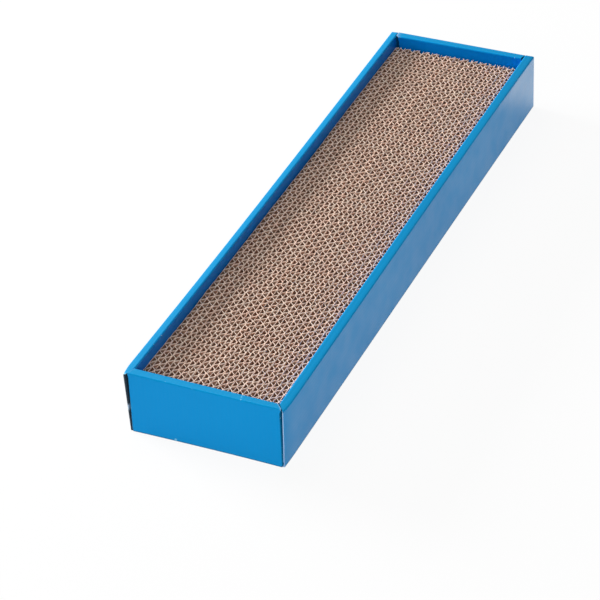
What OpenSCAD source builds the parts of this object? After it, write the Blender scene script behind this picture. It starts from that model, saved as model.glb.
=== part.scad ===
// Cardboard cat scratcher: a corrugated scratching pad that lies loose in a folded board tray.
// Units are millimetres. The length runs along Y, the width along X, and Z = 0 is the table.
// The origin is at the middle of the underside.

/* [Scratching pad] */
// Number of corrugated strips glued side by side
strip_count = 28; // [12:1:40]
// Length of the pad along its strips
pad_l = 481; // [200:1:800]
// Height of the pad, the width that the strips are sawn to
pad_h = 39; // [15:0.5:80]
// Height of the wave inside a strip
wave_h = 3.5; // [2.5:0.1:6]
// Wave length in the odd strips
odd_pitch = 8.05; // [6:0.05:14]
// Wave length in the even strips
even_pitch = 8.75; // [6:0.05:14]
// Thickness of a flat liner paper
liner_t = 0.28; // [0.15:0.01:0.6]
// Thickness of the waved paper
wave_t = 0.25; // [0.15:0.01:0.6]
// Width of a wave's flat crest in the odd strips, along the middle of its paper
odd_crest_w = 1.7; // [0.8:0.1:2.6]
// Width of a wave's flat crest in the even strips
even_crest_w = 2.3; // [0.8:0.1:2.6]

/* [Tray] */
// Thickness of the tray's board
board_t = 1.5; // [0.8:0.1:2.4]
// Free width beside a corner flap in the hollow of a long wall
flap_play = 0.7; // [0.2:0.1:8]
// Width of the hollow in an end wall
end_hollow = 4.2; // [1:0.1:12]
// Height of the rim above the pad
rim_rise = 9.5; // [3:0.5:40]
// Gap between the pad and each long wall
pad_side_gap = 0.4; // [0.3:0.1:4]
// Gap between the pad and each end wall
pad_end_gap = 1.1; // [0.3:0.1:8]

/* [Flaps, tabs and seams] */
// Length of a corner flap, from the outside of the end wall
flap_l = 42; // [15:1:60]
// Number of locking tabs on a long wall
side_tab_count = 3; // [1:1:5]
// Length of a locking tab on a long wall
side_tab_l = 28; // [10:1:30]
// Length of the locking tab on an end wall
end_tab_l = 36; // [10:1:40]
// Clearance round a tab in its slot
slot_clear = 0.3; // [0.1:0.1:1]
// Height of a tab's tip above the table
tab_lift = 0.3; // [0.1:0.1:0.7]
// Width of the open seam between two rims at a corner
seam_gap = 0.5; // [0.1:0.1:1.5]
// Clearance between panels that pass each other
panel_clear = 0.4; // [0.1:0.1:0.8]

/* [Hidden] */
// Share of a wave length by which each strip starts later than the one before it
strip_shift_share = 0.475;
// How far a cutting shape runs past what it cuts
overrun = 1;
$fn = 48;

strip_t = wave_h + 2 * liner_t;
pad_w = strip_count * strip_t;
inner_w = pad_w + 2 * pad_side_gap;
inner_l = pad_l + 2 * pad_end_gap;
// Width of a rim: a long wall holds a flap between its two panels, an end wall is empty
side_rim_w = 3 * board_t + panel_clear + flap_play;
end_rim_w = 2 * board_t + end_hollow;
tray_w = inner_w + 2 * side_rim_w;
tray_l = inner_l + 2 * end_rim_w;
tray_h = board_t + pad_h + rim_rise;
// Height of a wall panel between its bottom crease and its top crease
panel_h = tray_h - 2 * board_t;
// Half width of an end wall's outer panel, up to the fold of its corner flap
end_half_w = tray_w / 2 - 2 * board_t - panel_clear;

function strip_name(i) = str("strip_", i < 10 ? "0" : "", i);
function strip_pitch(i) = i % 2 == 1 ? odd_pitch : even_pitch;
function strip_crest(i) = i % 2 == 1 ? odd_crest_w : even_crest_w;
function strip_shift(i) = strip_pitch(i) * (i * strip_shift_share - floor(i * strip_shift_share));

module blue_board() {
    color("#009ee1") children();
}

module kraft_board() {
    color("#b99b85") children();
}

// The outer quarter of a fold, drawn about the inner corner of the crease
module fold_quarter() {
    intersection() {
        circle(r = board_t);
        square(board_t);
    }
}

// The cross-section of a flat rim: X runs outwards from the inner face of the wall
module rim_section(rim_w) {
    translate([board_t, 0]) square([rim_w - 2 * board_t, board_t]);
    translate([rim_w - board_t, 0]) fold_quarter();
    translate([board_t, 0]) mirror([1, 0]) fold_quarter();
}

// A bar of a section in the X-Z plane, of length len along Y, centred
module bar_along_y(len) {
    rotate([90, 0, 0]) linear_extrude(len, center = true) children();
}

// Tray floor

// One locking slot, centred on a tab
module side_slot() {
    translate([-slot_clear, -side_tab_l / 2 - slot_clear, -overrun])
        cube([board_t + 2 * slot_clear, side_tab_l + 2 * slot_clear, board_t + 2 * overrun]);
}

module end_slot() {
    translate([-end_tab_l / 2 - slot_clear, -slot_clear, -overrun])
        cube([end_tab_l + 2 * slot_clear, board_t + 2 * slot_clear, board_t + 2 * overrun]);
}

// The tabs of a long wall share its length evenly
function side_tab_y(k) = inner_l * ((k - 0.5) / side_tab_count - 0.5);

module bottom_panel() {
    blue_board() difference() {
        union() {
            translate([board_t - tray_w / 2, board_t - tray_l / 2, 0])
                cube([tray_w - 2 * board_t, tray_l - 2 * board_t, board_t]);
            for (side = [0, 1]) mirror([side, 0, 0])
                translate([tray_w / 2 - board_t, 0, board_t])
                    bar_along_y(tray_l) mirror([0, 1]) fold_quarter();
            for (side = [0, 1]) mirror([0, side, 0])
                translate([0, tray_l / 2 - board_t, board_t])
                    rotate([0, 0, 90]) bar_along_y(2 * end_half_w) mirror([0, 1]) fold_quarter();
        }
        for (side = [0, 1]) mirror([side, 0, 0])
            for (k = [1:side_tab_count]) translate([inner_w / 2, side_tab_y(k), 0]) side_slot();
        for (side = [0, 1]) mirror([0, side, 0])
            translate([0, inner_l / 2, 0]) end_slot();
    }
}

// Long walls, drawn on the right and mirrored to the left

module side_outer_panel() {
    translate([tray_w / 2 - board_t, -tray_l / 2, board_t]) cube([board_t, tray_l, panel_h]);
}

// The corner of a rim is cut on a slant, from the inner corner of the tray to the end fold.
// The plan of what an end rim takes of one corner, drawn at the back right, grown by a gap
module corner_plan(gap) {
    polygon([
        [0, inner_l / 2],
        [inner_w / 2 + gap, inner_l / 2],
        [tray_w / 2 - board_t - seam_gap + gap, tray_l / 2],
        [tray_w / 2 - board_t - seam_gap + gap, tray_l / 2 + overrun],
        [0, tray_l / 2 + overrun]
    ]);
}

module side_rim() {
    difference() {
        translate([inner_w / 2, 0, tray_h - board_t]) bar_along_y(tray_l) rim_section(side_rim_w);
        for (end = [0, 1]) mirror([0, end, 0])
            translate([0, 0, tray_h - board_t - overrun])
                linear_extrude(board_t + 2 * overrun) corner_plan(seam_gap);
    }
}

module side_inner_panel() {
    reach = tray_l / 2 - board_t - panel_clear;
    translate([inner_w / 2, -reach, board_t]) cube([board_t, 2 * reach, panel_h]);
    for (k = [1:side_tab_count])
        translate([inner_w / 2, side_tab_y(k) - side_tab_l / 2, tab_lift])
            cube([board_t, side_tab_l, board_t - tab_lift]);
}

module right_outer_panel() {
    blue_board() side_outer_panel();
}

module right_rim() {
    blue_board() side_rim();
}

module right_inner_panel() {
    blue_board() side_inner_panel();
}

module left_outer_panel() {
    blue_board() mirror([1, 0, 0]) side_outer_panel();
}

module left_rim() {
    blue_board() mirror([1, 0, 0]) side_rim();
}

module left_inner_panel() {
    blue_board() mirror([1, 0, 0]) side_inner_panel();
}

// End walls, drawn at the back and mirrored to the front

module end_outer_panel() {
    translate([-end_half_w, tray_l / 2 - board_t, board_t]) cube([2 * end_half_w, board_t, panel_h]);
}

module end_rim() {
    intersection() {
        translate([0, inner_l / 2, tray_h - board_t])
            rotate([0, 0, 90]) bar_along_y(tray_w) rim_section(end_rim_w);
        for (side = [0, 1]) mirror([side, 0, 0])
            translate([0, 0, tray_h - board_t - overrun])
                linear_extrude(board_t + 2 * overrun) corner_plan(0);
    }
}

module end_inner_panel() {
    half_w = inner_w / 2 - panel_clear;
    translate([-half_w, inner_l / 2, board_t]) cube([2 * half_w, board_t, panel_h]);
    translate([-end_tab_l / 2, inner_l / 2, tab_lift]) cube([end_tab_l, board_t, board_t - tab_lift]);
}

module back_outer_panel() {
    blue_board() end_outer_panel();
}

module back_rim() {
    blue_board() end_rim();
}

module back_inner_panel() {
    blue_board() end_inner_panel();
}

module front_outer_panel() {
    blue_board() mirror([0, 1, 0]) end_outer_panel();
}

module front_rim() {
    blue_board() mirror([0, 1, 0]) end_rim();
}

module front_inner_panel() {
    blue_board() mirror([0, 1, 0]) end_inner_panel();
}

// Corner flaps, folded off the end walls and tucked into the hollow of the long walls.
// Drawn at the back right
module corner_flap() {
    translate([end_half_w, tray_l / 2 - board_t, board_t])
        linear_extrude(panel_h - panel_clear) {
            fold_quarter();
            translate([0, board_t - flap_l]) square([board_t, flap_l - board_t]);
        }
}

module back_right_flap() {
    blue_board() corner_flap();
}

module back_left_flap() {
    blue_board() mirror([1, 0, 0]) corner_flap();
}

module front_right_flap() {
    blue_board() mirror([0, 1, 0]) corner_flap();
}

module front_left_flap() {
    blue_board() mirror([1, 0, 0]) mirror([0, 1, 0]) corner_flap();
}

// Scratching pad

// What a bend adds to a crest on the outer side of the paper, and takes from it on the inner
// side, so that the paper is as thick on the flanks as on the crests
function bend_gain(pitch, crest) = wave_t / 2 * tan(atan2(wave_h - wave_t, pitch / 2 - crest) / 2);

// The open cells on one side of the wave, with their bases on the liner at X = liner_t
module cell_row(pitch, crest, start) {
    half_base = (pitch - crest) / 2 - bend_gain(pitch, crest);
    half_top = crest / 2 - bend_gain(pitch, crest);
    for (k = [0:ceil(pad_l / pitch) + 1]) {
        y = start + k * pitch - pad_l / 2;
        polygon([
            [liner_t, y - half_base],
            [strip_t - liner_t - wave_t, y - half_top],
            [strip_t - liner_t - wave_t, y + half_top],
            [liner_t, y + half_base]
        ]);
    }
}

// One strip of corrugated board on edge: two liners with the wave between them
module strip(i) {
    pitch = strip_pitch(i);
    crest = strip_crest(i);
    shift = strip_shift(i) - pitch;
    kraft_board() translate([(i - 1) * strip_t - pad_w / 2, 0, board_t])
        linear_extrude(pad_h) difference() {
            translate([0, -pad_l / 2]) square([strip_t, pad_l]);
            cell_row(pitch, crest, shift + pitch / 2);
            translate([strip_t, 0]) mirror([1, 0]) cell_row(pitch, crest, shift);
        }
}

bottom_panel();
left_outer_panel();
left_rim();
left_inner_panel();
right_outer_panel();
right_rim();
right_inner_panel();
front_outer_panel();
front_rim();
front_inner_panel();
back_outer_panel();
back_rim();
back_inner_panel();
front_left_flap();
front_right_flap();
back_left_flap();
back_right_flap();
for (i = [1:strip_count]) strip(i);
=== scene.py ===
import bpy
import numpy as np
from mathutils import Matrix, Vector


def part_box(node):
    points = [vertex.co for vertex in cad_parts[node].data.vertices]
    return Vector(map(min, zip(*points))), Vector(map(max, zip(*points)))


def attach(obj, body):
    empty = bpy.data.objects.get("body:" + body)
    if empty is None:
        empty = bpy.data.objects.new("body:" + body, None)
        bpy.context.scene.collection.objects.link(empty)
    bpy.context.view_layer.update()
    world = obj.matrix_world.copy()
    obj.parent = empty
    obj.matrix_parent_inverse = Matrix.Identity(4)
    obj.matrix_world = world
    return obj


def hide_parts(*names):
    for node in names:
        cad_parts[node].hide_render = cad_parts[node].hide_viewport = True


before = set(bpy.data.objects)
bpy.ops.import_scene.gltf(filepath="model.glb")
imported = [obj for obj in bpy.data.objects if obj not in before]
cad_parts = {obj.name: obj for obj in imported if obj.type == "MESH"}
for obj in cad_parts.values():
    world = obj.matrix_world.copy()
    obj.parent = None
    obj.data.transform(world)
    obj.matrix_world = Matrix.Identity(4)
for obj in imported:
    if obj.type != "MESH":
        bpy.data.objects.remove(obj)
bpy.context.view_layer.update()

# Tray floor. The tray is one die-cut sheet of thin corrugated board, printed blue on what becomes its
# outside. The floor is the sheet's middle panel, printed side down, with slots near its edges that the
# walls' tabs lock into. Its flutes run along the tray.
MM = 0.001


def span(node):
    """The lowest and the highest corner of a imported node, in millimetres."""
    low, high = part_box(node)
    return np.array(low) / MM, np.array(high) / MM


half_l = span("right_outer_panel")[1][1]
rim_z = span("right_rim")[1][2]
pocket_half_w = span("right_inner_panel")[0][0]
pocket_half_l = span("back_inner_panel")[0][1]
floor_z = span("bottom_panel")[1][2]
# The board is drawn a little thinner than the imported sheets, so that panels that lie together stay apart
board_t = 0.94 * floor_z
board_liner_t = 0.24
board_wave_t = 0.2
board_pitch = 3.3
# A fold's radius on the printed side, and the share of its thickness that the board loses there
fold_r = 1.1
crushed_share = 0.25
# Faces that meet at more degrees than this keep a sharp edge
sharp_angle = 35.0
# What a surface says about its points beside its crease, which is 1 in the middle of a fold: panel is the
# place down the section, cut the wear of the print along a cut rim, then how much painted shade darkens the
# raw board and how much painted light turns it a pale lit blue, and gloss how much more varnish there is.
POINT_FACTS = ("panel", "cut", "hollow_shade", "gloss", "lit_cut")


def slab(front, back, solid=None):
    """Two equal grids of points closed into one skin. A cell that isn't solid is left open on both grids,
    and each grid edge with a solid cell on one side only gets a wall between the two grids. The skin's
    volume, summed over its faces, tells whether they have to be turned to point outwards."""
    rows, cols = front.shape[:2]
    count = rows * cols
    solid = np.ones((rows - 1, cols - 1), bool) if solid is None else solid
    index = np.arange(count).reshape(rows, cols)
    cells = np.stack([index[:-1, :-1], index[:-1, 1:], index[1:, 1:], index[1:, :-1]], -1)[solid]
    around = np.pad(solid, 1)
    before, after = around[:-1, 1:-1], around[1:, 1:-1]
    left, right = around[1:-1, :-1], around[1:-1, 1:]
    starts, ends = [], []
    for edge_open, start, end in (
        (after & ~before, index[:, 1:], index[:, :-1]),
        (before & ~after, index[:, :-1], index[:, 1:]),
        (left & ~right, index[1:], index[:-1]),
        (right & ~left, index[:-1], index[1:]),
    ):
        starts.append(start[edge_open])
        ends.append(end[edge_open])
    start, end = np.concatenate(starts), np.concatenate(ends)
    walls = np.stack([start, end, end + count, start + count], -1)
    faces = np.concatenate([cells, cells[:, ::-1] + count, walls])
    printed = np.arange(len(faces)) < len(cells)
    points = np.concatenate([front.reshape(-1, 3), back.reshape(-1, 3)])
    a, b, c, d = (points[faces[:, k]] for k in range(4))
    volume = (np.cross(b - a, c - a) * a).sum() + (np.cross(c - a, d - a) * a).sum()
    return points, faces if volume > 0 else faces[:, ::-1], printed


def add_piece(name, parts, materials, body, nodes):
    """One object from several closed skins. Each part is points in millimetres, faces, which faces take the
    first material, and values per point; corners that no face uses are dropped."""
    points = np.concatenate([p[0] for p in parts])
    sizes = np.cumsum([0] + [len(p[0]) for p in parts])
    faces = np.concatenate([p[1] + first for p, first in zip(parts, sizes)])
    printed = np.concatenate([p[2] for p in parts])
    used, flat = np.unique(faces, return_inverse=True)
    slots = np.where(printed, 0, len(materials) - 1)
    mesh = bpy.data.meshes.new(name)
    mesh.vertices.add(len(used))
    mesh.vertices.foreach_set("co", (points[used] * MM).astype(np.float32).ravel())
    mesh.loops.add(flat.size)
    mesh.loops.foreach_set("vertex_index", flat.astype(np.int32).ravel())
    mesh.polygons.add(len(faces))
    mesh.polygons.foreach_set("loop_start", np.arange(0, flat.size, 4, dtype=np.int32))
    mesh.polygons.foreach_set("material_index", slots.astype(np.int32))
    mesh.polygons.foreach_set("use_smooth", np.ones(len(faces), bool))
    for key in parts[0][3]:
        values = np.concatenate([np.asarray(p[3][key], np.float32).ravel() for p in parts])
        mesh.attributes.new(key, "FLOAT", "POINT").data.foreach_set("value", values[used])
    for material in materials:
        mesh.materials.append(material)
    mesh.update(calc_edges=True)
    mesh.set_sharp_from_angle(angle=np.radians(sharp_angle))
    piece = bpy.data.objects.new(name, mesh)
    bpy.context.scene.collection.objects.link(piece)
    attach(piece, body)
    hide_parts(*nodes)
    return piece


def corrugated(name, surface, nodes):
    """A piece of the tray's board: an outer liner, a waved medium and an inner liner, each a closed skin
    laid at its own depth under the printed face. The wave's depth is half the board plus a sine of the way
    across the flutes. The board is thinner in its creases, and by the surface's own crush. A surface gives
    its points, their normals, the way across the flutes, its facts and its solid cells, on a finer grid for
    the wave."""
    parts = []
    for fine in (False, True):
        face, normal, across, facts, solid = surface(fine)
        deep = board_t * (1 - crushed_share * facts["crease"] - facts.pop("crush", 0.0))
        if fine:
            swing = (deep - 2 * board_liner_t - board_wave_t) / 2
            middle = deep / 2 + swing * np.sin(2 * np.pi * across / board_pitch)
            layers = [(middle - board_wave_t / 2, middle + board_wave_t / 2)]
        else:
            outside = np.zeros_like(deep)
            layers = [(outside, outside + board_liner_t), (deep - board_liner_t, deep)]
        for k, (top, low) in enumerate(layers):
            top_face, low_face = (face - normal * depth[..., None] for depth in (top, low))
            points, faces, printed = slab(top_face, low_face, solid)
            values = {"across": across, **dict.fromkeys(POINT_FACTS, 0.0), **facts}
            values = {
                key: np.tile(np.broadcast_to(value, across.shape).ravel(), 2)
                for key, value in values.items()
            }
            parts.append((points, faces, printed & (k == 0) & (not fine), values))
    return add_piece(name, parts, [printed_board, raw_board], "tray", nodes)


def node_tree(name):
    """A new material, with its nodes and links and the shader that Blender puts in it."""
    material = bpy.data.materials.new(name)
    material.use_nodes = True
    tree = material.node_tree
    return material, tree.nodes, tree.links, tree.nodes["Principled BSDF"]


def add_node(nodes, kind, **values):
    """A node of that kind with its properties, and its unlinked sockets, set by name."""
    made = nodes.new(kind)
    for key, value in values.items():
        if key in made.inputs:
            made.inputs[key].default_value = value
        else:
            setattr(made, key, value)
    return made


def attribute(nodes, name):
    """The value per point that a mesh keeps under that name."""
    return add_node(nodes, "ShaderNodeAttribute", attribute_name=name).outputs["Fac"]


def noise(nodes, links, place, scale, detail):
    """Soft noise at place, with scale cells a metre and detail finer layers on top."""
    made = add_node(nodes, "ShaderNodeTexNoise", Scale=scale, Detail=detail)
    links.new(place, made.inputs["Vector"])
    return made.outputs["Fac"]


def stretch(nodes, links, source, low, high, to_low=0.0, to_high=1.0):
    """The output of source, stretched from low..high to to_low..to_high and held there outside."""
    made = nodes.new("ShaderNodeMapRange")
    links.new(source, made.inputs["Value"])
    for key, value in (("From Min", low), ("From Max", high), ("To Min", to_low), ("To Max", to_high)):
        made.inputs[key].default_value = value
    return made.outputs["Result"]


def mixed(nodes, links, share, first, second):
    """First and second mixed by share. Each is a colour or a socket."""
    made = nodes.new("ShaderNodeMix")
    made.data_type = "RGBA"
    links.new(share, made.inputs["Factor"])
    colour_sockets = [s for s in made.inputs if s.type == "RGBA"]
    for socket, value in zip(colour_sockets, (first, second)):
        if isinstance(value, bpy.types.NodeSocket):
            links.new(value, socket)
        else:
            socket.default_value = (*value, 1.0)
    return [s for s in made.outputs if s.type == "RGBA"][0]


def math_node(nodes, links, operation, first, second=None):
    """First and second put through one arithmetic operation. Each is a number or a socket."""
    made = add_node(nodes, "ShaderNodeMath", operation=operation)
    for socket, value in zip(made.inputs, (first, second)):
        if isinstance(value, bpy.types.NodeSocket):
            links.new(value, socket)
        elif value is not None:
            socket.default_value = value
    return made.outputs[0]


def add_bump(nodes, links, shader, height, strength, distance):
    """Relief on the shader, from the socket height, distance metres deep."""
    bump = add_node(nodes, "ShaderNodeBump", Strength=strength, Distance=distance)
    links.new(height, bump.inputs["Height"])
    links.new(bump.outputs["Normal"], shader.inputs["Normal"])


# Where the print is knocked off: the middle of each spot and how far it reaches. A spot is bare up to the
# first share of its reach, and ends at the second.
RUBBED_SPOTS = [
    ((28.7, -242.1, 50.0), 0.6),
    ((29.0, -244.2, 50.0), 0.7),
    ((29.8, -247.0, 49.9), 0.65),
    ((-24.1, -251.3, 1.5), 1.2),
    ((62.3, -248.8, 47.5), 1.0),
    ((-62.0, -248.2, 49.8), 1.4),
    ((-61.9, -250.2, 20.5), 3.3),
]
rubbed_shares = (0.5, 1.1)


def rubbed(nodes, links, place):
    """1 in the middle of each rubbed spot, 0 outside all of them."""
    share = 0.0
    for middle, reach in RUBBED_SPOTS:
        away = add_node(nodes, "ShaderNodeVectorMath", operation="DISTANCE")
        links.new(place, away.inputs[0])
        away.inputs[1].default_value = [value * MM for value in middle]
        bare, gone = (part * reach * MM for part in rubbed_shares)
        near = stretch(nodes, links, away.outputs["Value"], bare, gone, 1.0, 0.0)
        share = math_node(nodes, links, "MAXIMUM", share, near)
    return share


# A place says how far down a wall's section a point lies: 0 under the floor's edge, 1 in the fold at the
# foot, 2 in the top fold, 3 in the rim's inner fold, 4 where the tabs start and 5 at their tips. A fold
# takes up fold_share of a place on each side of its number, and the ink changes within ink_step of it.
foot_fold = 1
top_fold = 2
inner_fold = 3
tab_start = 4
fold_share = 0.04
ink_step = 0.05
# Painted shade at the foot, for its contact shadow, ends at the first of these places, and is full up to the
# second
foot_shade_fade = (1.3, 1.2)
# The ink outside, on the rims and inside the tray, each from its darker to its paler patches. The rims' copy
# is paler, as painted light, and the inner copy deeper, as painted shade
OUTER_INK = ((0.0, 0.297, 0.715), (0.0, 0.322, 0.755))
LIT_RIM_INK = ((0.0, 0.292, 0.620), (0.0, 0.315, 0.660))
SHADED_INNER_INK = ((0.0, 0.215, 0.710), (0.0, 0.235, 0.760))
# The ink where it is folded, darkened at the foot by painted contact shadow, worn along a cut, knocked off,
# and worn to specks
FOLDED_INK = (0.01, 0.375, 0.80)
FOOT_SHADE_PAINT = (0.0, 0.04, 0.07)
CUT_INK = (0.36, 0.55, 0.82)
KNOCKED_INK = (0.20, 0.62, 0.92)
SPECK_INK = (0.45, 0.68, 0.85)
# From which value of its crease on, and how much at most: a fold pales the ink, painted contact shadow
# darkens it at the foot, and a fold adds to the noise of the specks, which show as that noise passes through
# speck_edge
paling = (0.3, 0.35)
foot_shading = (0.4, 0.75)
speckling = (0.2, 0.17)
speck_edge = (0.85, 0.88)
# Noise lies mostly between these two values
noise_span = (0.3, 0.7)
varnish_roughness = (0.30, 0.42)
# How much the flutes and the paper's fibres make of the relief
ridge_share = 0.5
fibre_share = 0.25


def make_printed_board():
    """Blue ink under a thin satin varnish. It is drawn deepest inside the tray, as painted shade, paler on
    the rims, as painted light, and darkened in the fold at the foot by painted contact shadow. The flutes
    show as faint ridges across the board, and the ink is worn to the paper in specks along the folds."""
    material, nodes, links, shader = node_tree("printed_board")
    place = nodes.new("ShaderNodeTexCoord").outputs["Object"]
    crease = attribute(nodes, "crease")
    panel = attribute(nodes, "panel")
    cloud = stretch(nodes, links, noise(nodes, links, place, scale=9.0, detail=3.0), *noise_span)
    ink = mixed(nodes, links, cloud, *OUTER_INK)
    # Painted light and shade: the rims take a paler copy of the ink, and the inside of the tray a deeper one
    for fold, inks in ((top_fold, LIT_RIM_INK), (inner_fold, SHADED_INNER_INK)):
        past_fold = stretch(nodes, links, panel, fold - ink_step, fold + ink_step)
        ink = mixed(nodes, links, past_fold, ink, mixed(nodes, links, cloud, *inks))
    folded = stretch(nodes, links, crease, paling[0], 1.0, 0.0, paling[1])
    ink = mixed(nodes, links, folded, ink, FOLDED_INK)
    # Painted shade: the fold at the foot is darkened where its contact shadow falls
    foot = math_node(nodes, links, "MULTIPLY", crease, stretch(nodes, links, panel, *foot_shade_fade))
    foot_shade = stretch(nodes, links, foot, foot_shading[0], 1.0, 0.0, foot_shading[1])
    ink = mixed(nodes, links, foot_shade, ink, FOOT_SHADE_PAINT)
    ink = mixed(nodes, links, attribute(nodes, "cut"), ink, CUT_INK)
    ink = mixed(nodes, links, rubbed(nodes, links, place), ink, KNOCKED_INK)
    near_fold = stretch(nodes, links, crease, speckling[0], 1.0, 0.0, speckling[1])
    specks = noise(nodes, links, place, scale=420.0, detail=3.0)
    specks = math_node(nodes, links, "ADD", specks, near_fold)
    ink = mixed(nodes, links, stretch(nodes, links, specks, *speck_edge), ink, SPECK_INK)
    links.new(ink, shader.inputs["Base Color"])
    patches = noise(nodes, links, place, scale=60.0, detail=4.0)
    roughness = stretch(nodes, links, patches, *noise_span, *varnish_roughness)
    links.new(roughness, shader.inputs["Roughness"])
    shader.inputs["Specular IOR Level"].default_value = 0.4
    shader.inputs["Specular Tint"].default_value = (0.0, 0.5, 1.0, 1.0)
    links.new(attribute(nodes, "gloss"), shader.inputs["Coat Weight"])
    shader.inputs["Coat Roughness"].default_value = 0.25
    turns = math_node(nodes, links, "MULTIPLY", attribute(nodes, "across"), 2 * np.pi / board_pitch)
    ridge = math_node(nodes, links, "MULTIPLY", math_node(nodes, links, "SINE", turns), ridge_share)
    fibre = noise(nodes, links, place, scale=1500.0, detail=2.0)
    fibre = math_node(nodes, links, "MULTIPLY", fibre, fibre_share)
    height = math_node(nodes, links, "ADD", ridge, fibre)
    add_bump(nodes, links, shader, height, strength=0.35, distance=0.00006)
    return material


# Raw board: its paper from dark to pale flecks, a pale lit blue painted on as light at a cut, painted
# shade in the walls' hollows, and paper that is knocked bare
RAW_PAPER = ((0.20, 0.17, 0.15), (0.32, 0.28, 0.25))
LIT_CUT_PAINT = (0.40, 0.66, 1.0)
HOLLOW_SHADE_PAINT = (0.035, 0.075, 0.11)
KNOCKED_PAPER = (0.50, 0.66, 0.82)
fleck_span = (0.35, 0.7)


def make_raw_board():
    """The unprinted side and the cut edges of the tray's board: grey-brown recycled paper with short
    fibres, painted a pale lit blue where a cut edge catches light, and painted dark where shade falls."""
    material, nodes, links, shader = node_tree("raw_board")
    place = nodes.new("ShaderNodeTexCoord").outputs["Object"]
    grain = noise(nodes, links, place, scale=700.0, detail=4.0)
    colour = mixed(nodes, links, stretch(nodes, links, grain, *fleck_span), *RAW_PAPER)
    # Painted light: the right wall's raw board turns a pale lit blue, so its cut shows as a lit line
    colour = mixed(nodes, links, attribute(nodes, "lit_cut"), colour, LIT_CUT_PAINT)
    # Painted shade: the raw board is darkened in the walls' hollows and in the dark gap at a cut
    colour = mixed(nodes, links, attribute(nodes, "hollow_shade"), colour, HOLLOW_SHADE_PAINT)
    colour = mixed(nodes, links, rubbed(nodes, links, place), colour, KNOCKED_PAPER)
    links.new(colour, shader.inputs["Base Color"])
    shader.inputs["Roughness"].default_value = 0.85
    shader.inputs["Specular IOR Level"].default_value = 0.2
    add_bump(nodes, links, shader, grain, strength=0.4, distance=0.00008)
    return material


printed_board = make_printed_board()
raw_board = make_raw_board()

# Where the walls' outer faces stand at the foot, from the tray's middle: a long wall in x, and an end wall
# in y at four places from left to right. The floor ends fold_reach inside them, where their folds start.
long_foot = {"left": 61.4, "right": 62.1}
end_foot = {"front": (252.0, 251.4, 251.2, 251.7), "back": (249.7, 249.7, 249.7, 249.7)}
fold_reach = 2.0
# Three tabs lock each long wall and one locks each end wall, in slots with a little play around them
side_tab_half_l = 14.0
end_tab_half_l = 18.0
side_tab_y = [
    (middle - side_tab_half_l, middle + side_tab_half_l)
    for middle in (-pocket_half_l * 2 / 3, 0.0, pocket_half_l * 2 / 3)
]
end_tab_x = (-end_tab_half_l, end_tab_half_l)
slot_play = 0.3
# Points across the flutes stand this close to draw the wave, and further apart for the flat liners
fine_step = 0.41
floor_step = 12.0
floor_rows = 9


def tray_floor(fine):
    """The floor's underside at z = 0: x runs across the flutes and y along them. Slot edges are grid lines,
    and the cells inside a slot are open."""
    slot_x = (pocket_half_w - slot_play, pocket_half_w + floor_z + slot_play)
    slot_y = (pocket_half_l - slot_play, pocket_half_l + floor_z + slot_play)
    left, right = -long_foot["left"] + fold_reach, long_foot["right"] - fold_reach
    front, back = -min(end_foot["front"]) + fold_reach, min(end_foot["back"]) - fold_reach
    step = fine_step if fine else floor_step
    x = np.concatenate([np.arange(left, right, step), [right], slot_x, np.negative(slot_x), end_tab_x])
    y = np.concatenate([
        np.linspace(front, back, floor_rows),
        slot_y,
        np.negative(slot_y),
        np.ravel(side_tab_y),
    ])
    x, y = np.unique(x.round(3)), np.unique(y.round(3))
    xx, yy = np.meshgrid(x, y)
    mid_x, mid_y = (x[1:] + x[:-1]) / 2, (y[1:] + y[:-1]) / 2
    in_side = (np.abs(mid_x) > slot_x[0]) & (np.abs(mid_x) < slot_x[1])
    at_side = np.any([(mid_y > a) & (mid_y < b) for a, b in side_tab_y], axis=0)
    in_end = (mid_x > end_tab_x[0]) & (mid_x < end_tab_x[1])
    at_end = (np.abs(mid_y) > slot_y[0]) & (np.abs(mid_y) < slot_y[1])
    solid = ~(at_side[:, None] & in_side[None] | at_end[:, None] & in_end[None])
    face = np.stack([xx, yy, 0 * xx], -1)
    down = np.zeros_like(face)
    down[..., 2] = -1
    return face, down, xx, {"crease": 0 * xx}, solid


corrugated("tray_floor", tray_floor, ["bottom_panel"])

# Long walls. Each is one run of the sheet folded up from the floor, over a narrow flat rim and down again
# inside, where three tabs lock it. They flare a little at the top and bow, because the hollow between is
# nearly empty, and their cut ends show the board's flutes at the corners.
foot_r = 0.5
tab_end_z = 0.3
# The rims drop this much towards the outside, and the inner panels stop this far short of the walls' ends
rim_slope = 0.6
inner_short = 1.9
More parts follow.
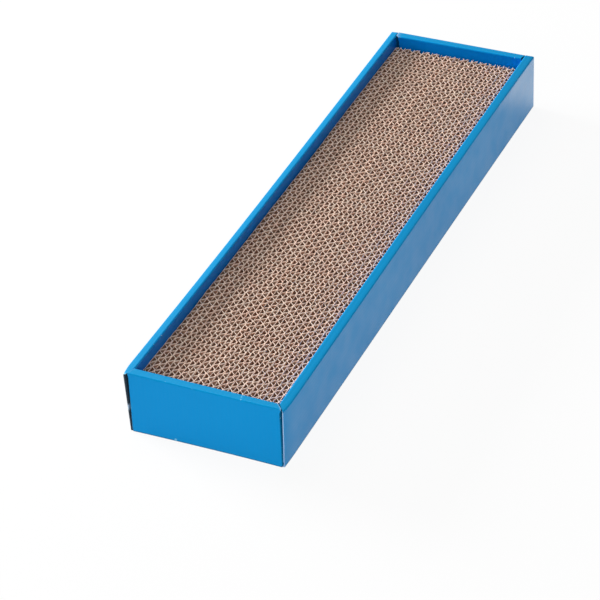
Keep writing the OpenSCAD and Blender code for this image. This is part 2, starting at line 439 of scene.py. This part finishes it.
# A long wall's edges, in millimetres from the tray's middle, where four values run from front to back. top
# and rim_inner are the x of the rim's outer and inner fold, foot_inner that of the inner panel, and
# foot_flare is added to the wall's x at the foot. The front end is pulled in by front_pull, at the top and
# at the foot, and its foot stands forward by front_lean. The knife took front_crush of its thickness, and
# less below the height open_foot. The next two say how much painted shade darkens the raw board of the
# front half, standing in for the dark gap at its cut, and how much painted light turns the raw board a pale
# lit blue, so that its cut shows as a lit line. A cut of the rim has the x of two points across the rim and
# the y of both.
WALL_EDGES = {
    "left": {
        "side": -1,
        "top": (64.15, 62.75, 63.25, 64.45),
        "rim_inner": (57.30, 56.60, 57.05, 57.90),
        "foot_inner": 56.98,
        "foot_flare": (0.0, 0.0, 0.0, 0.0),
        "front_pull": (1.45, 0.8),
        "front_lean": 2.4,
        "front_crush": 0.45,
        "open_foot": 1.0,
        "front_shade": 0.85,
        "lit_cut": 0.0,
        "front_cut": ((57.6, 60.6), (240.7, 248.8)),
        "back_cut": ((58.4, 64.0), (247.8, 247.8)),
    },
    "right": {
        "side": 1,
        "top": (64.70, 64.05, 63.30, 63.70),
        "rim_inner": (57.10, 56.30, 56.05, 56.00),
        "foot_inner": 57.05,
        "foot_flare": (0.4, 0.3, 0.2, 0.5),
        "front_pull": (1.4, 0.45),
        "front_lean": 1.9,
        "front_crush": 0.45,
        "open_foot": 16.0,
        "front_shade": 0.0,
        "lit_cut": 1.0,
        "front_cut": ((57.1, 62.8), (241.5, 248.8)),
        "back_cut": ((56.0, 63.5), (247.5, 248.6)),
    },
}
# How far in from an end its shape and the knife's crushing reach, and over how far the hollow's painted
# shade fades out towards a cut
hold_reach = 14.0
knife_reach = 3.0
shade_reach = 0.6
# The far end of the right wall has more varnish, which starts on a slant, further forward at the top
far_slope = 1.46
far_start = 232.0
far_reach = 36.0
# Columns along a wall, and where more of them stand near its ends, as shares of hold_reach
wall_columns = 25
end_shares = np.array([1.0, 0.7, 0.4, 0.2, 0.1, 0.03])
# Rows down each run of a section, for the liners and for the wave, and along the arc of a fold
plain_rows = (1, 12, 3, 12, 1)
fine_rows = (2, 110, 8, 110, 3)
arc_rows = 6
# A fold's crease falls away over this width
crease_reach = 1.3


def folded_path(corners, radii, counts, even):
    """Points down the section of a folded sheet. A straight run is shared out evenly, or by half a cosine
    wave, which puts more points near its ends, and a fold is an arc about the point one radius inside both
    of its runs. corners is (corner, column, 2), and the outside lies to the right of the way down the path.
    Returns the points, their outward normals, and each row's place: corner i has place i."""
    run = np.diff(corners, axis=0)
    run /= np.linalg.norm(run, axis=-1, keepdims=True)
    normal = np.stack([run[..., 1], -run[..., 0]], -1)
    points, normals, places = [], [], []
    start, first = corners[0], 0
    for i, count in enumerate(counts):
        radius = radii[i] if i < len(radii) else 0.0
        end = corners[i + 1]
        if radius:
            turn = np.arccos((run[i] * run[i + 1]).sum(-1))[:, None]
            end = end - run[i] * radius * np.tan(turn / 2)
        share = np.linspace(0, 1, count + 1)[first:]
        if not even:
            share = (1 - np.cos(np.pi * share)) / 2
        points.append(start + share[:, None, None] * (end - start))
        normals.append(np.broadcast_to(normal[i], points[-1].shape))
        places.append(i + fold_share + (1 - 2 * fold_share) * share)
        start, first = end, 1
        if radius:
            share = np.linspace(0, 1, arc_rows + 1)[1:-1]
            way = share[:, None, None]
            turned = np.sin((1 - way) * turn) * normal[i] + np.sin(way * turn) * normal[i + 1]
            turned = turned / np.sin(turn)
            points.append(end - radius * normal[i] + radius * turned)
            normals.append(turned)
            places.append(i + (1 - fold_share) + 2 * fold_share * share)
            start, first = corners[i + 1] + run[i + 1] * radius * np.tan(turn / 2), 0
    return np.concatenate(points), np.concatenate(normals), np.concatenate(places)


def run_length(points):
    """The way down each column of a grid of points."""
    steps = np.linalg.norm(np.diff(points, axis=0), axis=-1)
    return np.concatenate([np.zeros((1, points.shape[1])), np.cumsum(steps, axis=0)])


def crease_at(length, place, folds):
    """1 at a fold's middle, falling away as a bell: e to the minus square of the way from it."""
    middles = [length[np.abs(place - fold).argmin()] for fold in folds]
    return np.max([np.exp(-(((length - middle) / crease_reach) ** 2)) for middle in middles], axis=0)


def gentle(values, along, half):
    """The cubic through four values that stand a third of the wall apart, from one end to the other."""
    return np.polyval(np.polyfit(half * np.array([-1, -1 / 3, 1 / 3, 1]), values, 3), along)


def long_wall(name):
    """The surface of a long wall. Its section is drawn with x outwards; each edge follows its own gentle
    line, and the front end is pulled in at the top and the foot. The rim's front end is cut on a slant to
    the inner corner of the tray, and its back end is cut nearly square."""
    edges = WALL_EDGES[name]

    def surface(fine):
        near_ends = half_l - hold_reach * end_shares
        columns = np.linspace(-half_l, half_l, wall_columns)
        y = np.unique(np.concatenate([columns, np.ravel(side_tab_y), near_ends, -near_ends]).round(3))
        pull = np.clip(1 - (y + half_l) / hold_reach, 0, 1) ** 2
        foot = long_foot[name] + gentle(edges["foot_flare"], y, half_l) - edges["front_pull"][1] * pull
        top = gentle(edges["top"], y, half_l) - edges["front_pull"][0] * pull
        inner = gentle(edges["rim_inner"], y, half_l)
        inner_foot = np.full_like(y, edges["foot_inner"])
        level = np.ones_like(y)
        corners = np.stack([
            np.stack([foot - fold_reach, 0 * y], -1),
            np.stack([foot, 0 * y], -1),
            np.stack([top, (rim_z - rim_slope) * level], -1),
            np.stack([inner, rim_z * level], -1),
            np.stack([inner_foot, floor_z * level], -1),
            np.stack([inner_foot, tab_end_z * level], -1),
        ])
        rows = fine_rows if fine else plain_rows
        points, normals, place = folded_path(corners, (foot_r, fold_r, fold_r, 0), rows, fine)
        length = run_length(points)
        height = points[..., 1]
        outer = place < top_fold - fold_share
        ends = []
        for column, cut, lean in ((0, "front_cut", edges["front_lean"]), (-1, "back_cut", 0.0)):
            rim_end = np.interp(points[:, column, 0], *edges[cut])
            outer_end = half_l + lean * (1 - height[:, column] / rim_z)
            inside_end = np.where(place <= inner_fold, rim_end, half_l - inner_short)
            ends.append(np.where(outer, outer_end, inside_end))
        hold = half_l - hold_reach
        yy = np.broadcast_to(y, length.shape)
        over = np.clip((np.abs(yy) - hold) / hold_reach, 0, 1)
        end = np.where(yy > 0, ends[1][:, None], ends[0][:, None])
        yy = np.where(over > 0, np.sign(yy) * (hold + over * (end - hold)), yy)
        face = np.stack([edges["side"] * points[..., 0], yy, height], -1)
        normal = np.stack([edges["side"] * normals[..., 0], 0 * yy, normals[..., 1]], -1)
        mid_y = (y[1:] + y[:-1]) / 2
        tab = np.any([(mid_y > a) & (mid_y < b) for a, b in side_tab_y], axis=0)
        solid = (place[1:] < tab_start)[:, None] | tab[None]
        knife = np.clip((-yy - half_l) / knife_reach + 1, 0, 1)
        # Painted shade: the raw board is darkened inside the hollow, fading out towards the cut, and over a
        # wall's front half by its front value
        hollow = np.clip((half_l - np.abs(yy)) / shade_reach, 0, 1)
        far_end = np.clip((yy + far_slope * height - far_start) / far_reach, 0, 1)
        facts = {
            "crease": crease_at(length, place, (foot_fold, top_fold, inner_fold)),
            "panel": place[:, None],
            "crush": edges["front_crush"] * knife * np.clip(height / edges["open_foot"], 0, 1),
            "hollow_shade": np.maximum(hollow, edges["front_shade"] * (yy < 0)),
            "gloss": (edges["side"] > 0) * far_end * outer[:, None],
            "lit_cut": edges["lit_cut"],
        }
        return face, normal, length, facts, solid

    return surface


for wall in ("left", "right"):
    nodes = [wall + "_outer_panel", wall + "_rim", wall + "_inner_panel"]
    corrugated(wall + "_wall", long_wall(wall), nodes)

# End walls. They fold up, over and down like the long walls, with a wider rim that fills the slanted
# corners, and one tab locks each to the floor. The flutes run up them, so their faces show faint ridges.
end_half_w = 61.0
# An end wall's edges, as a long wall's, but in y, and with four values from left to right
END_EDGES = {
    "front": {
        "end": -1,
        "top": (247.6, 247.9, 247.9, 247.6),
        "rim_inner": (240.3, 240.7, 241.1, 241.5),
        "foot_inner": 241.7,
    },
    "back": {
        "end": 1,
        "top": (249.0, 248.7, 248.4, 248.0),
        "rim_inner": (242.0, 242.0, 242.0, 242.0),
        "foot_inner": 241.6,
    },
}
# Half widths of an end wall at its foot, at its top fold, at the rim's outer and inner corner, at the top
# of the inner panel and a fifth of the way down it, left then right. The foot's holds for the first two of
# SIDE_PLACES, and the last from there to the tabs' tips.
END_SIDES = {
    "front": ((59.3, 61.2), (60.2, 60.7), (60.25, 61.1), (57.6, 56.8), (56.5, 56.5), (56.5, 56.5)),
    "back": ((59.6, 59.7), (60.4, 60.4), (57.9, 56.1), (57.7, 54.8), (56.3, 54.8), (54.8, 55.4)),
}
SIDE_PLACES = (0, 1, 1.9, 1.97, 2.98, 3.0, 3.2, 5)
# The print's wear along the rim's cut ends, left then right, how wide it is, and how much painted shade
# darkens the raw board
END_WORN = {"front": (0.15, 0.7), "back": (0.9, 0.0)}
worn_reach = {"front": 0.7, "back": 1.3}
end_shade = {"front": 0.0, "back": 1.0}
# More columns stand near a wall's ends, whose half widths take hold from end_hold outwards
end_step = 6.0
corner_columns = np.array([58.8, 59.8, 60.5, end_half_w])
end_hold = 50.0
# The rims drop this much towards the inside
end_rim_slope = 0.1


def end_wall(name):
    """The surface of an end wall. Its section is drawn with y outwards, and its sides follow END_SIDES."""
    edges, sides = END_EDGES[name], END_SIDES[name]

    def surface(fine):
        columns = np.arange(-end_half_w, end_half_w, fine_step if fine else end_step)
        x = np.concatenate([columns, corner_columns, -corner_columns, end_tab_x])
        x = np.unique(x.round(3))
        foot, top, rim_inner = (
            gentle(values, x, end_half_w) for values in (end_foot[name], edges["top"], edges["rim_inner"])
        )
        level = np.ones_like(x)
        corners = np.stack([
            np.stack([np.full_like(x, min(end_foot[name]) - fold_reach), 0 * x], -1),
            np.stack([foot, 0 * x], -1),
            np.stack([top, rim_z * level], -1),
            np.stack([rim_inner, (rim_z - end_rim_slope) * level], -1),
            np.stack([edges["foot_inner"] * level, floor_z * level], -1),
            np.stack([edges["foot_inner"] * level, tab_end_z * level], -1),
        ])
        points, normals, place = folded_path(corners, (foot_r, fold_r, fold_r, 0), plain_rows, False)
        length = run_length(points)
        ends = []
        for k in (0, 1):
            low, high, rim_out, rim_in, inner_top, inner_low = (pair[k] for pair in sides)
            low, high = low - fold_r, high - fold_r
            widths = (low, low, high, rim_out, rim_in, inner_top, inner_low, inner_low)
            ends.append(np.interp(place, SIDE_PLACES, widths))
        xx = np.broadcast_to(x, length.shape)
        over = np.clip((np.abs(xx) - end_hold) / (end_half_w - end_hold), 0, 1)
        end = np.where(xx > 0, ends[1][:, None], ends[0][:, None])
        xx = np.where(over > 0, np.sign(xx) * (end_hold + over * (end - end_hold)), xx)
        face = np.stack([xx, edges["end"] * points[..., 0], points[..., 1]], -1)
        normal = np.stack([0 * xx, edges["end"] * normals[..., 0], normals[..., 1]], -1)
        mid_x = (x[1:] + x[:-1]) / 2
        tab = (mid_x > end_tab_x[0]) & (mid_x < end_tab_x[1])
        solid = (place[1:] < tab_start)[:, None] | tab[None]
        from_cut = np.abs(np.abs(xx) - np.abs(end)) / worn_reach[name]
        on_rim = ((place > top_fold - fold_share) & (place < inner_fold + fold_share))[:, None]
        worn = np.where(xx > 0, END_WORN[name][1], END_WORN[name][0])
        facts = {
            "crease": crease_at(length, place, (foot_fold, top_fold, inner_fold)),
            "panel": place[:, None],
            "cut": np.exp(-(from_cut**2)) * on_rim * worn,
            "hollow_shade": end_shade[name],
        }
        return face, normal, xx, facts, solid

    return surface


for wall in ("front", "back"):
    nodes = [wall + "_outer_panel", wall + "_rim", wall + "_inner_panel"]
    corrugated(wall + "_wall", end_wall(wall), nodes)

# Corner flaps. Each is folded off an end wall's outer panel about an upright crease and tucked into the
# hollow of the long wall. Only the fold shows, in the seam at the corner.
flap_l = 42.0
flap_top = rim_z - 2.0
# A flap's tip stands this far inwards, and its fold ends in a stub this long on the end wall
flap_toe = 0.8
flap_stub = 0.02
flap_columns = 9
flap_rows = (6, 1)
fine_flap_rows = (100, 1)


def corner_flap(end_name, side_name):
    """The surface of a flap. Its plan is drawn with x and y outwards, an arc round the corner and a
    straight run in, and it leans with the end wall that it is folded from."""
    edges = END_EDGES[end_name]
    foot_x, top_x = END_SIDES[end_name][:2]
    k = 0 if side_name == "left" else -1
    side = WALL_EDGES[side_name]["side"]

    def surface(fine):
        z = np.linspace(floor_z, flap_top, flap_columns)
        up = z / rim_z
        corner_x = (1 - up) * foot_x[k] + up * top_x[k]
        corner_y = (1 - up) * end_foot[end_name][k] + up * edges["top"][k]
        corners = np.stack([
            np.stack([corner_x - flap_toe, corner_y - flap_l], -1),
            np.stack([corner_x, corner_y], -1),
            np.stack([corner_x - fold_r - flap_stub, corner_y], -1),
        ])
        points, normals, place = folded_path(corners, (fold_r,), fine_flap_rows if fine else flap_rows, fine)
        length = run_length(points)
        zz = np.broadcast_to(z, length.shape)
        face = np.stack([side * points[..., 0], edges["end"] * points[..., 1], zz], -1)
        normal = np.stack([side * normals[..., 0], edges["end"] * normals[..., 1], 0 * zz], -1)
        return face, normal, length, {"crease": crease_at(length, place, (1,))}, None

    return surface


for end_name in ("front", "back"):
    for side_name in ("left", "right"):
        flap = end_name + "_" + side_name + "_flap"
        corrugated(flap + "_board", corner_flap(end_name, side_name), [flap])

# Scratching pad. Strips of brown corrugated board stand on edge, glued side by side and sawn to one height,
# with their open cells up. Sheets of two wave lengths alternate, each from its own point of the wave.
strip_names = sorted(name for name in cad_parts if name.startswith("strip_"))
strip_low, strip_high = span(strip_names[0])
strip_t = strip_high[0] - strip_low[0]
pad_left = strip_low[0]
pad_half_l = strip_high[1]
pad_low, pad_top = strip_low[2], strip_high[2]
# The length of a wave, the fullness of its crests and the paper's tone, for odd strips and for even ones
pitches = (8.05, 8.75)
fullness = (0.55, 1.06)
sheet_tone = (0.15, 0.85)
# Each strip starts this share of a wave after the one before
shift_share = 0.475
# A liner is thicker where a strip is glued to the next than where two waves share one
paper_t = 0.23
glued_liner_t = 0.25
single_liner_t = 0.2
cuts_per_wave = 12
liner_points = 320
# The paper of a sheet's faces, greyer and redder, each from dark to pale patches, and its sawn edges
GREY_FACE = ((0.33, 0.200, 0.138), (0.47, 0.300, 0.212))
RED_FACE = ((0.35, 0.190, 0.126), (0.49, 0.285, 0.194))
SAWN_EDGE = ((1.0, 0.73, 0.60), (1.0, 0.83, 0.70))
# The sawn edge turns pale between these two values of its height and half the fibres' noise
fuzz_share = 0.5
fuzz_edge = (0.50, 0.95)


def make_kraft_paper():
    """Brown recycled paper. The sheet's faces are a dull brown with fibres and flecks, and the sawn edges
    are raised to a pale fuzz."""
    material, nodes, links, shader = node_tree("kraft_paper")
    place = nodes.new("ShaderNodeTexCoord").outputs["Object"]
    cloud = stretch(nodes, links, noise(nodes, links, place, scale=160.0, detail=4.0), *noise_span)
    fibre = noise(nodes, links, place, scale=1400.0, detail=3.0)
    grey, red, edge = (mixed(nodes, links, cloud, *colours) for colours in (GREY_FACE, RED_FACE, SAWN_EDGE))
    face = mixed(nodes, links, attribute(nodes, "tone"), grey, red)
    fuzz = math_node(nodes, links, "MULTIPLY", fibre, fuzz_share)
    fuzz = math_node(nodes, links, "ADD", attribute(nodes, "sawn"), fuzz)
    colour = mixed(nodes, links, stretch(nodes, links, fuzz, *fuzz_edge), face, edge)
    links.new(colour, shader.inputs["Base Color"])
    shader.inputs["Roughness"].default_value = 0.9
    shader.inputs["Specular IOR Level"].default_value = 0.1
    add_bump(nodes, links, shader, fibre, strength=0.3, distance=0.0001)
    return material


kraft_paper = make_kraft_paper()

# How far the top of the pad leans to the right: in its middle, what is added in proportion to the way to
# its right side, and what is added with the square of that way. Each has its value at the middle of the
# pad's length, and what is added to that at the back and at the front end.
LEAN = (1.27, -0.55, -2.22)
SKEW = (-0.78, 0.55, -0.37)
ARCH = (-1.15, 0.0, 0.58)
# Where these additions start, and how long they take to come in
lean_back = (40.0, 120.0)
lean_front = (-145.0, 90.0)
front_curve = 1.3
# A ripple in the sheets: its swing, and the millimetres for one radian of it along and across the pad
RIPPLES = ((0.12, 23, 9), (0.08, 9.1, -5))


def pad_shift(x, y, z):
    """How far the pad's sheets lie out of line. The top of the soft block leans to the right in its middle
    and on its left, less so at the back, and its right side and its front end lean to the left. The lean
    grows in proportion to the height. The ripple is a sum of two sines, and dies out at the sides."""
    up = (z - pad_low) / (pad_top - pad_low)
    side = -x / pad_left
    back = np.clip((y - lean_back[0]) / lean_back[1], 0, 1)
    back = back * back * (3 - 2 * back)
    front = np.clip((lean_front[0] - y) / lean_front[1], 0, 1) ** front_curve
    lean, skew, arch = (k[0] + k[1] * back + k[2] * front for k in (LEAN, SKEW, ARCH))
    ripple = sum(swing * np.sin(y / along + x / over) for swing, along, over in RIPPLES)
    inside = np.clip(1 - side**2, 0, 1)
    return up * (lean + skew * side + arch * side**2) + ripple * inside


def uneven(rng, count, window):
    """Random numbers about 0, averaged over a window so that neighbours are alike, with a spread near 1."""
    raw = rng.standard_normal(count + window - 1)
    return np.convolve(raw, np.ones(window) / np.sqrt(window), "valid")


# The levels up a sheet as shares of its height, and how sawn it is at each
PAPER_LEVELS = np.array([0.0, 0.012, 0.035, 0.965, 0.988, 1.0])
SAWN = np.array([1.0, 0.55, 0.0, 0.0, 0.55, 1.0])
# How much wider its frayed edges are than a sheet, for a wave and a liner, and how far the fraying strays
wave_flare = 2.0
liner_flare = 1.1
fray_spread = 0.025
# The ragged top: how far it strays over a short and over a long window of points, and the most it stands up
short_ragged = 0.08
short_window = 2
long_ragged = 0.12
long_window = 14
most_ragged = 0.5


def paper(line_x, y, thickness, flare, top, rng, tone):
    """One sheet of paper standing on edge. The sheet follows line_x along y, with half its thickness to
    each side, and rises in six levels. Both sawn edges are frayed a little wider, and the top is ragged."""
    wide = np.ones_like(PAPER_LEVELS)
    wide[[0, -1]] = flare
    slope = np.gradient(line_x, y)
    normal = np.stack([np.ones_like(slope), -slope], -1) / np.sqrt(1 + slope**2)[:, None]
    ragged = top + short_ragged * uneven(rng, len(y), short_window)
    ragged = ragged + long_ragged * uneven(rng, len(y), long_window)
    ragged = np.minimum(ragged, pad_top + most_ragged)
    z = pad_low + PAPER_LEVELS[:, None] * (ragged[None] - pad_low)
    fray = fray_spread * uneven(rng, len(y), short_window)
    sides = []
    for sign in (1, -1):
        offset = sign * wide[:, None, None] * thickness / 2 * normal[None]
        x = line_x[None] + offset[..., 0] + fray[None] * SAWN[:, None]
        yy = y[None] + offset[..., 1]
        sides.append(np.stack([x + pad_shift(x, yy, z), yy, z], -1))
    points, faces, printed = slab(*sides)
    facts = {
        "sawn": np.tile(np.broadcast_to(SAWN[:, None], z.shape).ravel(), 2),
        "tone": np.full(points.shape[0], tone),
    }
    return points, faces, printed, facts


# How far a crest strays, as a share of a wave and over a window of waves, and how much lower waves are
crest_stray = 0.022
crest_window = 2
low_spread = 0.03
# The share of waves that are crushed, and how much height they lose
crushed_odds = 0.04
crushed_loss = (0.15, 0.4)


def wave_line(number, rng):
    """The middle of a strip's wave. Its height is the hyperbolic tangent of a cosine, which gives steep
    flanks and full crests where it is glued; crests wander along the strip, and a few are crushed."""
    sheet = (number + 1) % 2
    pitch = pitches[sheet]
    start = pitch * ((number * shift_share) % 1.0)
    count = int(2 * pad_half_l / pitch * cuts_per_wave)
    y = np.linspace(-pad_half_l, pad_half_l, count)
    turns = (y + pad_half_l - start) / pitch
    waves = int(turns[-1] - turns[0]) + 4
    wander = crest_stray * uneven(rng, waves, crest_window)
    full = 1 - low_spread * np.abs(uneven(rng, waves, 1))
    full -= np.where(rng.random(waves) < crushed_odds, rng.uniform(*crushed_loss, waves), 0)
    at = np.arange(waves) - 1 + np.floor(turns[0])
    turns = turns + np.interp(turns, at, wander)
    height = np.tanh(fullness[sheet] * np.cos(2 * np.pi * turns)) / np.tanh(fullness[sheet])
    return y, -height * np.interp(turns, at, full)


# How much the strips differ: in height, at most in length at each end, and in tone
height_spread = 0.15
most_short = 0.7
tone_spread = 0.15
first_seed = 100

for number, name in enumerate(strip_names, 1):
    rng = np.random.default_rng(first_seed + number)
    left = pad_left + (number - 1) * strip_t
    odd = number % 2 == 1
    left_t, right_t = (single_liner_t, glued_liner_t) if odd else (glued_liner_t, single_liner_t)
    top = pad_top + height_spread * rng.standard_normal()
    end_play = rng.uniform(-most_short, 0.0)
    y, height = wave_line(number, rng)
    y = y * (1 + end_play / pad_half_l)
    wave_left = left + left_t + paper_t / 2
    wave_right = left + strip_t - right_t - paper_t / 2
    line = (wave_left + wave_right) / 2 + height * (wave_right - wave_left) / 2
    liner_y = np.linspace(y[0], y[-1], liner_points)
    left_liner = np.full(liner_points, left + left_t / 2)
    right_liner = np.full(liner_points, left + strip_t - right_t / 2)
    tone = sheet_tone[(number + 1) % 2] + rng.uniform(-tone_spread, tone_spread)
    parts = [
        paper(line, y, paper_t, wave_flare, top, rng, tone),
        paper(left_liner, liner_y, left_t, liner_flare, top, rng, tone),
        paper(right_liner, liner_y, right_t, liner_flare, top, rng, tone),
    ]
    add_piece("corrugated_" + name, parts, [kraft_paper], "pad", [name])

# Floor and light. The object stands on a white floor, which isn't seen from below. A low lamp on the left
# throws the left wall's shadow on the pad, and two large soft ones stand in front and above, on the left.
floor_half = 6.0
floor_gap = 0.05 * MM
# How much of the floor is plain white to the camera, in gloss, and to other rays
floor_seen = 0.92
floor_mirrored = 0.8
floor_glow = 0.5
floor_mesh = bpy.data.meshes.new("studio_floor")
floor_signs = ((-1, -1), (1, -1), (1, 1), (-1, 1))
floor_corners = [(x * floor_half, y * floor_half, -floor_gap) for x, y in floor_signs]
floor_mesh.from_pydata(floor_corners, [], [(0, 1, 2, 3)])
floor = bpy.data.objects.new("studio_floor", floor_mesh)
bpy.context.scene.collection.objects.link(floor)


def shaded(nodes, links, share, first, second):
    """Two shaders mixed by share."""
    made = nodes.new("ShaderNodeMixShader")
    for socket, source in zip(made.inputs, (share, first, second)):
        links.new(source, socket)
    return made.outputs[0]


def make_studio_floor():
    """White, and for the camera and reflections mostly a plain white, with a share left that keeps the
    shadow. Its underside is clear."""
    material, nodes, links, shader = node_tree("studio_floor")
    shader.inputs["Base Color"].default_value = (0.96, 0.96, 0.96, 1)
    shader.inputs["Roughness"].default_value = 0.9
    shader.inputs["Specular IOR Level"].default_value = 0.0
    ray = nodes.new("ShaderNodeLightPath").outputs
    mirrored = math_node(nodes, links, "MULTIPLY", ray["Is Glossy Ray"], floor_mirrored)
    seen = math_node(nodes, links, "MAXIMUM", ray["Is Camera Ray"], ray["Is Transmission Ray"])
    share = math_node(nodes, links, "MULTIPLY", seen, floor_seen)
    share = math_node(nodes, links, "MAXIMUM", share, mirrored)
    share = math_node(nodes, links, "MAXIMUM", share, floor_glow)
    white = add_node(nodes, "ShaderNodeEmission", Color=(1, 1, 1, 1), Strength=1.0)
    top = shaded(nodes, links, share, shader.outputs[0], white.outputs[0])
    below = nodes.new("ShaderNodeNewGeometry").outputs["Backfacing"]
    clear = nodes.new("ShaderNodeBsdfTransparent").outputs[0]
    both = shaded(nodes, links, below, top, clear)
    links.new(both, nodes["Material Output"].inputs["Surface"])
    return material


floor_mesh.materials.append(make_studio_floor())

# The world is white where it is seen, partly so in gloss, and gives only this much light
world_mirrored = 0.4
world_light = 0.12
world = bpy.data.worlds.new("studio")
bpy.context.scene.world = world
world.use_nodes = True
nodes, links = world.node_tree.nodes, world.node_tree.links
ray = nodes.new("ShaderNodeLightPath").outputs
mirrored = math_node(nodes, links, "MULTIPLY", ray["Is Glossy Ray"], world_mirrored)
seen = math_node(nodes, links, "MAXIMUM", ray["Is Camera Ray"], mirrored)
seen = math_node(nodes, links, "MAXIMUM", seen, ray["Is Transmission Ray"])
strength = stretch(nodes, links, seen, 0.0, 1.0, world_light, 1.0)
background = nodes["Background"]
background.inputs["Color"].default_value = (1, 1, 1, 1)
links.new(strength, background.inputs["Strength"])


def add_lamp(name, place, aim, width, height, power):
    """A soft rectangular lamp at place, turned towards aim."""
    data = bpy.data.lights.new(name, "AREA")
    data.shape = "RECTANGLE"
    data.size, data.size_y, data.energy = width, height, power
    lamp = bpy.data.objects.new(name, data)
    lamp.location = place
    lamp.rotation_euler = (Vector(aim) - Vector(place)).to_track_quat("-Z", "Y").to_euler()
    bpy.context.scene.collection.objects.link(lamp)


add_lamp("lamp_left", (-1.9, 0.3, 0.66), aim=(0, 0, 0.05), width=0.8, height=0.38, power=58)
add_lamp("lamp_above", (-1.05, 0.6, 1.87), aim=(0, 0, 0), width=1.6, height=1.6, power=18.8)
add_lamp("lamp_front", (0.45, -1.96, 1.45), aim=(0, 0, 0), width=1.6, height=1.0, power=21.3)

# The camera's lens, place and turn bring the tray's corners to their places in the photograph
camera_data = bpy.data.cameras.new("camera")
camera_data.sensor_width = 36.0
camera_data.lens = 159.77
camera_data.clip_end = 50.0
camera = bpy.data.objects.new("camera", camera_data)
camera.location = (0.7384, -1.5270, 1.2125)
camera.rotation_euler = np.radians((53.465, 3.608, 24.464))
bpy.context.scene.collection.objects.link(camera)
bpy.context.scene.camera = camera
bpy.context.scene.view_settings.view_transform = "Standard"
